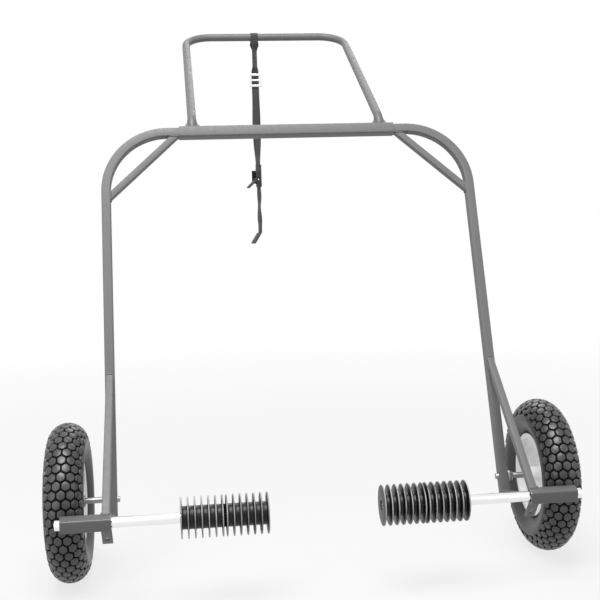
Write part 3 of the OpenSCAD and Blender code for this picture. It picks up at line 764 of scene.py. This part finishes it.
# Staggered rows of blocks round the carcass; blocks get shorter away from the crown, the last ones narrower
def tyreShape(block):
    w, t = wheel, tread
    bm = bmesh.new()
    for row in range(t["rows"]):
        for spot in t["spots"][row % 2]:
            start = len(bm.verts)
            bm.from_mesh(block)
            bm.verts.ensure_lookup_table()
            narrow = t["lastNarrow"] if abs(spot) > t["lastFrom"] else 1
            small = Matrix.Diagonal((narrow, 1 - (spot / t["shorten"]) ** 2, 1, 1))
            lean = shift(0, 0, w["mid"]) @ turn(spot, "Y") @ shift(0, 0, w["carcass"] - t["sunk"]) @ small
            bmesh.ops.transform(bm, matrix=turn(360 * row / t["rows"], "X") @ lean, verts=bm.verts[start:])
    merge(bm, lathe(carcassSection(), w["steps"]))
    return bm


# Rim: rolls are measured from the lip's corner, the pressed ring is (rise, radius) down the disc
rim = {"flange": 10, "lip": 3, "wall": 3, "dropHalf": 10, "drop": 11, "slope": 4, "ease": 1.2, "wellOut": 1.5,
       "topRoll": [(-0.6, -3.4), (0, -1.6), (-0.8, -0.3)], "underRoll": [(0, 2.4), (-1.6, -2.4)],
       "discFoot": [(6, 2), (2, 6)], "discHalf": 1.5, "hub": 42, "hubFoot": (3, 24),
       "pressed": [(0, 76), (1.1, 71), (4.5, 66), (4.5, 52), (1.1, 47), (0, 42), (0, 27)]}


def rimSection():
    r, half, bead = rim, wheel["rimHalf"], wheel["bead"]
    lip, top, low, knee = half + r["lip"], bead + r["flange"], bead - r["drop"], r["dropHalf"] + r["slope"]
    ease, under = r["ease"], bead - r["wall"]
    outer = [(lip + x, top + y) for x, y in r["topRoll"]]
    outer += [(half + ease, top), (half, top - ease), (half, bead + ease), (half - ease, bead), (knee, bead),
              (r["dropHalf"], low)]
    inner = [(lip + x, bead + y) for x, y in r["underRoll"]]
    inner += [(half, under), (knee + r["wellOut"], under), (r["dropHalf"] + r["wellOut"], low - r["wall"])]
    faces = []
    for s in (1, -1):
        well = [(s * x, y) for x, y in outer[::-1] + inner]
        foot = [(s * x, low - r["wall"] - y) for x, y in r["discFoot"]]
        disc = [(rise + s * r["discHalf"], y) for rise, y in r["pressed"]]
        hubFoot = [(s * r["hubFoot"][0], y) for y in (r["hubFoot"][1], r["hub"] / 2)]
        faces.append(well + foot + disc + hubFoot)
    return faces[0] + faces[1][::-1]


# Half of the hub, a bearing from the hub's end face inward, and a valve from its root: (along, radius) pairs
hub = {"half": 36, "steps": 48, "side": [(3, 25), (4.5, 22.5), (6, 21), (35, 21), (36, 20), (36, 17.5)]}
bearing = {"steps": 40,
           "ring": [(11, 8), (11, 17.4), (0.6, 17.4), (0, 16.8), (0, 14.8), (0.9, 14.4), (0.9, 11.4), (0, 11),
                    (0, 8.6), (0.6, 8)]}
valve = {"x": 9, "steps": 24,
         "stem": [(0, nearAxis), (0, 6.4), (2, 6.4), (6, 4.6), (17, 4.2), (17.6, 4.9), (27.2, 4.7), (28, 4),
                  (28, nearAxis)]}


def bearingPair():
    bm = bmesh.new()
    for s in (-1, 1):
        merge(bm, lathe([(s * (hub["half"] - x), r) for x, r in bearing["ring"]], bearing["steps"]))
    bmesh.ops.recalc_face_normals(bm, faces=bm.faces[:])
    return bm


def buildWheels():
    w = wheel
    block = treadBlock()
    hubSection = [(-x, r) for x, r in hub["side"][::-1]] + hub["side"]
    root = shift(valve["x"], 0, w["bead"] - rim["drop"] - rim["wall"]) @ turn(90, "Y")
    for side, flip in sides.items():
        hand = side.lower()
        body = hand + "_wheel"
        place = cart @ flip @ shift(w["x"], 0, 0)
        addPiece("tyre" + side, tyreShape(block), place, tyreRubber, body, ["tyre_" + hand],
                 sharp=30)
        addPiece("rim" + side, lathe(rimSection(), w["steps"]), place, rimPaint, body,
                 ["rim_" + hand], sharp=40)
        addPiece("hub" + side, lathe(hubSection, hub["steps"]), place, rimPaint, body,
                 ["hub_" + hand])
        addPiece("bearings" + side, bearingPair(), place, bearingSteel, body,
                 ["bearings_" + hand])
        addPiece("valve" + side, lathe(valve["stem"], valve["steps"]), place @ root, tubeRubber, body,
                 ["valve_" + hand])
    bpy.data.meshes.remove(block)


buildWheels()
print("wheels made")

# Carrying arms: bright rods with two finned rubber grips each
grips = {"inX": 137, "fins": 7, "pitch": 16.3, "fin": 5, "d": 100, "core": 55, "gap": 5, "play": 0.15,
         "finFoot": [(3.8, 0), (2.7, 0.5), (2.15, 2)], "finTip": [(1.6, 1.6), (1.1, 0.5)], "endIn": 0.3,
         "ease": 1, "steps": 64}
rod = {"d": 25.4, "out": 640, "steps": 48, "ease": 1.6, "tip": [(2.4, 0), (0.7, 0.8), (0, 2.4)]}
gripLength = (grips["fins"] - 1) * grips["pitch"] + grips["fin"]


# Section of one grip; its core runs on past the end fin by the two collars, where the next grip butts on it
def gripSection(lowCollar, highCollar):
    g, ease = grips, grips["ease"]
    core, tip, bore = g["core"] / 2, g["d"] / 2, rod["d"] / 2
    rising = [(x, core + y) for x, y in g["finFoot"]] + [(x, tip - y) for x, y in g["finTip"]]
    fins = []
    for i in range(g["fins"]):
        mid = i * g["pitch"] + g["fin"] / 2
        fins += [(mid - x, y) for x, y in rising] + [(mid, tip)] + [(mid + x, y) for x, y in rising[::-1]]
    outline = [(g["endIn"], core + ease)] + fins[2:-2] + [(gripLength - g["endIn"], core + ease)]
    first, last = -lowCollar, gripLength + highCollar
    return outline + [(last, core - ease), (last, bore + ease), (last - ease, bore), (first + ease, bore),
                      (first, bore + ease), (first, core - ease)]


def rodSection():
    r, out = rod["d"] / 2, rod["out"]
    first = grips["inX"] + grips["fin"] / 2
    inner = [(first, nearAxis), (first, r - rod["ease"]), (first + rod["ease"], r)]
    return inner + [(out - x, r - y) for x, y in rod["tip"]] + [(out, nearAxis)]


def buildArms():
    g = grips
    butt = g["gap"] / 2 - g["play"]
    rows = (("Inner", g["inX"], (0, butt)), ("Outer", g["inX"] + gripLength + g["gap"], (butt, 0)))
    for side, flip in sides.items():
        hand = side.lower()
        body = hand + "_arm"
        for which, start, collars in rows:
            addPiece("grip" + which + side, lathe(gripSection(*collars), g["steps"]),
                     arm @ flip @ shift(start, 0, 0), gripRubber, body,
                     ["grip_" + which.lower() + "_" + hand], sharp=40)
        addPiece("armRod" + side, lathe(rodSection(), rod["steps"]), arm @ flip, rodChrome, body,
                 ["arm_rod_" + hand])


buildArms()
print("carrying arms made")

# Fasteners, by how far their edges are eased
fasteners = {
    0.0007: ("axle_left", "axle_right", "axle_jam_nuts", "axle_lock_nuts", "crossbar_weld_nuts",
             "crossbar_set_bolts", "arm_weld_nuts", "arm_set_bolts"),
    0.0003: ("axle_snap_rings", "axle_washers"),
}
for ease, names in fasteners.items():
    for nodeName in names:
        first, *rest = nodeName.split("_")
        pieceName = first + "".join(w.title() for w in rest)
        softened(pieceName, nodeName, ease, zincPlate, "frame")
for nodeName in ("inner_tube_left", "inner_tube_right"):
    nodes[nodeName].data.materials.clear()
    nodes[nodeName].data.materials.append(tubeRubber)
print("fasteners made")

# Tie-down strap, hanging from the handle bar
strap = {
    "place": (-36, 644.8, 1539.958), "wide": 25, "thick": 2.2, "corner": 0.9, "yaw": -65,
    "bar": 12.7, "gap": 0.15, "throat": -48, "throatLong": 30, "camTop": -442, "camLow": -520,
    "tailLow": -678, "slideEase": 0.0014, "camEase": 0.0009, "pinEase": 0.0004,
}
# How the two strands lie: spans are (from, over, to, over) in height
strands = {
    "steps": 60, "apart": 0.05, "onBar": 0.93, "wrapFrom": -18, "wrapTo": 199, "wrapStep": 9, "loopBelow": 8,
    "gather": 52, "gatherSpan": (-122, 22, -16, 28), "slideBack": 4.4, "slideSpan": (-205, 30, -95, 30),
    "bowAt": -300, "bowLong": 55, "bowOut": 3.2, "bowSide": 2.5, "bowTurn": 0.5, "straightens": 120,
    "hangStep": 16,
}
# How the tail hangs, and its folded end as (back, up) pairs from where it swings out
tailLook = {
    "steps": 48, "sway": 1.6, "swayTurn": 9, "twist": 8, "twistTurn": 11, "twistEase": 3, "endSwing": 36,
    "endFold": [(0, 0), (0, -14), (0, -29), (0, -44), (-0.5, -48.5), (-1.8, -50.2), (-3.1, -48.5),
                (-3.4, -44), (-3.4, -24), (-3.4, -9), (-2.9, -6.6), (-1.1, -5.6)], "foldAt": 6,
}
strapFrame = toMetres @ shift(*strap["place"])
wrapRadius = strap["bar"] + strap["gap"] + strap["thick"] / 2


# Sweeps the webbing's flat section along points, with its width along each turn
def ribbon(bm, line, turns, uvs):
    s = strap
    frames, along = [], 0.0
    for i, p in enumerate(line):
        ahead = line[min(i + 1, len(line) - 1)] - line[max(i - 1, 0)]
        across = Vector((math.cos(turns[i]), math.sin(turns[i]), 0))
        frames.append(frameAt(p, across, ahead))
    first, last, rings = loft(bm, flatOutline(s["wide"], s["thick"], s["corner"]), frames)
    for end in (first, last):
        bmesh.ops.contextual_create(bm, geom=end)
    for i, (m, ring) in enumerate(zip(frames, rings)):
        along += (line[i] - line[i - 1]).length if i else 0
        back = m.inverted()
        for v in ring:
            uvs[v] = ((back @ v.co).x / 1000, along / 1000)


def strapPiece(name, bm, uvs, stands):
    layer = bm.loops.layers.uv.new("strapUv")
    for f in bm.faces:
        for loop in f.loops:
            loop[layer].uv = uvs[loop.vert]
    bmesh.ops.recalc_face_normals(bm, faces=bm.faces[:])
    return addPiece(name, bm, strapFrame, strapCloth, "strap", stands)


def smoothStep(value):
    value = min(max(value, 0), 1)
    return value * value * (3 - 2 * value)


def within(z, low, lowLong, high, highLong):
    return smoothStep((z - low) / lowLong) * smoothStep((high - z) / highLong)


# One strand from the buckle up to the bar, in front of the middle or behind it: points and how far each turns
def strandLine(sign):
    s, h = strap, strands
    near = s["thick"] / 2 + h["apart"]
    line = []
    for k in range(h["steps"] + 1):
        z = s["camTop"] + (s["throat"] + s["throatLong"] - s["camTop"]) * k / h["steps"]
        opened = smoothStep((z - s["throat"]) / s["throatLong"])
        bow = math.exp(-((z - h["bowAt"]) / h["bowLong"]) ** 2)
        straight = smoothStep((z - s["camTop"]) / h["straightens"])
        yaw = math.radians(s["yaw"]) * (1 - straight)
        yaw += math.radians(h["gather"]) * within(z, *h["gatherSpan"])  # the strands turn above the slide
        offset = near + opened * (wrapRadius * h["onBar"] - near) + bow * h["bowOut"]
        back = h["slideBack"] * within(z, *h["slideSpan"])  # the slide lies in front
        normal = Vector((-math.sin(yaw), math.cos(yaw), 0))
        place = normal * (sign * offset) + Vector((bow * h["bowSide"] * sign, back, z))
        line.append((place, yaw - bow * h["bowTurn"] * (sign > 0)))
    return line


def buildStrands():
    s, h = strap, strands
    lines = [strandLine(sign) for sign in (-1, 1)]
    split = next(k for k, (p, _) in enumerate(lines[0]) if p.z > s["throat"] - h["loopBelow"])
    bm, uvs = bmesh.new(), {}
    for line in lines:
        ribbon(bm, [p for p, _ in line[:split]], [a for _, a in line[:split]], uvs)
    webbing = strapPiece("strapWebbing", bm, uvs, ["strap_webbing"])
    angles = [math.radians(a) for a in range(h["wrapFrom"], h["wrapTo"], h["wrapStep"])]
    over = [(Vector((0, -math.cos(a), math.sin(a))) * wrapRadius, 0.0) for a in angles]
    route = lines[0][split - 1:] + over + lines[1][split - 1:][::-1]
    bm, uvs = bmesh.new(), {}
    ribbon(bm, [p for p, _ in route], [a for _, a in route], uvs)
    loop = strapPiece("strapLoop", bm, uvs, ["strap_loop"])
    return loop, webbing


def buildTail():
    s, t = strap, tailLook
    tail = turn(s["yaw"], "Z")
    points, turns = [], []
    for k in range(t["steps"] + 1):
        f = k / t["steps"]
        z = s["camLow"] + (s["tailLow"] - s["camLow"]) * f
        sway = math.sin(f * t["swayTurn"]) * t["sway"] * f * (1 - f) * 4
        ease = smoothStep(f * t["twistEase"]) * smoothStep((1 - f) * t["twistEase"])
        turns.append(math.radians(s["yaw"] + t["twist"] * math.sin(f * t["twistTurn"]) * ease))
        points.append(tail @ Vector((sway, s["thick"] / 2, z)))
    bm, uvs = bmesh.new(), {}
    ribbon(bm, points, turns, uvs)
    fold = shift(*points[-1]) @ tail @ turn(-t["endSwing"], "X")
    folded = [fold @ Vector((0, y + s["thick"] / 2, z)) for y, z in t["endFold"]]
    ribbon(bm, folded, [math.radians(s["yaw"])] * len(folded), uvs)
    piece = strapPiece("strapTail", bm, uvs, ["strap_tail", "strap_end"])
    return piece, points + folded[1:t["foldAt"]]


def dressStrap():
    s = strap
    loop, webbing = buildStrands()
    tail, tailLine = buildTail()
    slide = softened("strapSlide", "strap_slide", s["slideEase"], zincPlate, "strap",
                     segments=3)
    buckle = softened("camBuckle", "cam_buckle", s["camEase"], buckleBlack, "strap",
                      segments=3)
    pin = softened("camPin", "cam_pin", s["pinEase"], zincPlate, "strap")
    lever = softened("camLever", "cam_lever", s["camEase"], buckleBlack, "cam_lever",
                     segments=3)


dressStrap()
print("strap made")

# Floor, light and background
studio = {"floor": 40, "grey": 0.5, "rough": 0.9, "glowFrom": 0.6, "glowTo": 4.5, "leastGlow": 0.77,
          "ambient": 0.24}
lamps = {
    "keyLight": {"place": (-0.7, -1.9, 4.9), "aim": (0, 0, 0.6), "size": 3.2, "power": 340},
    "fillLight": {"place": (2.8, -2.2, 1.8), "aim": (0, 0, 0.6), "size": 2.2, "power": 20},
    "sideLight": {"place": (-2.4, -2.2, 1.1), "aim": (0.4, 0, 0.4), "size": 2.0, "power": 25},
    "backLight": {"place": (0.6, 3.0, 3.0), "aim": (0, 0, 0.7), "size": 2.0, "power": 40},
}


def addLight(name, place, aim, size, power):
    data = bpy.data.lights.new(name, "AREA")
    data.shape = "SQUARE"
    data.size = size
    data.energy = power
    lamp = bpy.data.objects.new(name, data)
    bpy.context.scene.collection.objects.link(lamp)
    lamp.location = place
    lamp.rotation_euler = (Vector(aim) - Vector(place)).to_track_quat("-Z", "Y").to_euler()


# A floor that takes shadows and glows towards white far from the cart
def buildFloor():
    made, tree, shader = newMaterial("paleFloor")
    shader.inputs["Roughness"].default_value = studio["rough"]
    shader.inputs["Base Color"].default_value = (*grey(studio["grey"]), 1)
    away = node(tree, "VectorMath", {0: objectPlace(tree)}, operation="LENGTH").outputs["Value"]
    glow = maths(tree, "MULTIPLY", backdropRays(tree),
                 ramp(tree, away, studio["glowFrom"], studio["glowTo"], studio["leastGlow"], 1))
    light = node(tree, "Emission", {"Color": (1, 1, 1, 1), "Strength": 1.0}).outputs[0]
    mixed = node(tree, "MixShader", {0: glow, 1: shader.outputs[0], 2: light}).outputs[0]
    out = next(n for n in tree.nodes if n.type == "OUTPUT_MATERIAL")
    tree.links.new(mixed, out.inputs[0])
    bm = bmesh.new()
    bmesh.ops.create_grid(bm, x_segments=8, y_segments=8, size=studio["floor"])
    mesh = bpy.data.meshes.new("floor")
    bm.to_mesh(mesh)
    bm.free()
    mesh.materials.append(made)
    floor = bpy.data.objects.new("floor", mesh)
    bpy.context.scene.collection.objects.link(floor)


# A white world to look at, which lights the cart only dimly
def buildWorld():
    world = bpy.data.worlds.new("studioWorld")
    bpy.context.scene.world = world
    world.use_nodes = True
    tree = world.node_tree
    tree.nodes.clear()
    level = ramp(tree, backdropRays(tree), 0, 1, studio["ambient"], 1.0)
    sky = node(tree, "Background", {"Color": (1, 1, 1, 1), "Strength": level}).outputs[0]
    out = tree.nodes.new("ShaderNodeOutputWorld")
    tree.links.new(sky, out.inputs[0])


buildFloor()
buildWorld()
for lampName, lamp in lamps.items():
    addLight(lampName, lamp["place"], lamp["aim"], lamp["size"], lamp["power"])
bpy.context.scene.view_settings.view_transform = "Standard"
print("studio made")
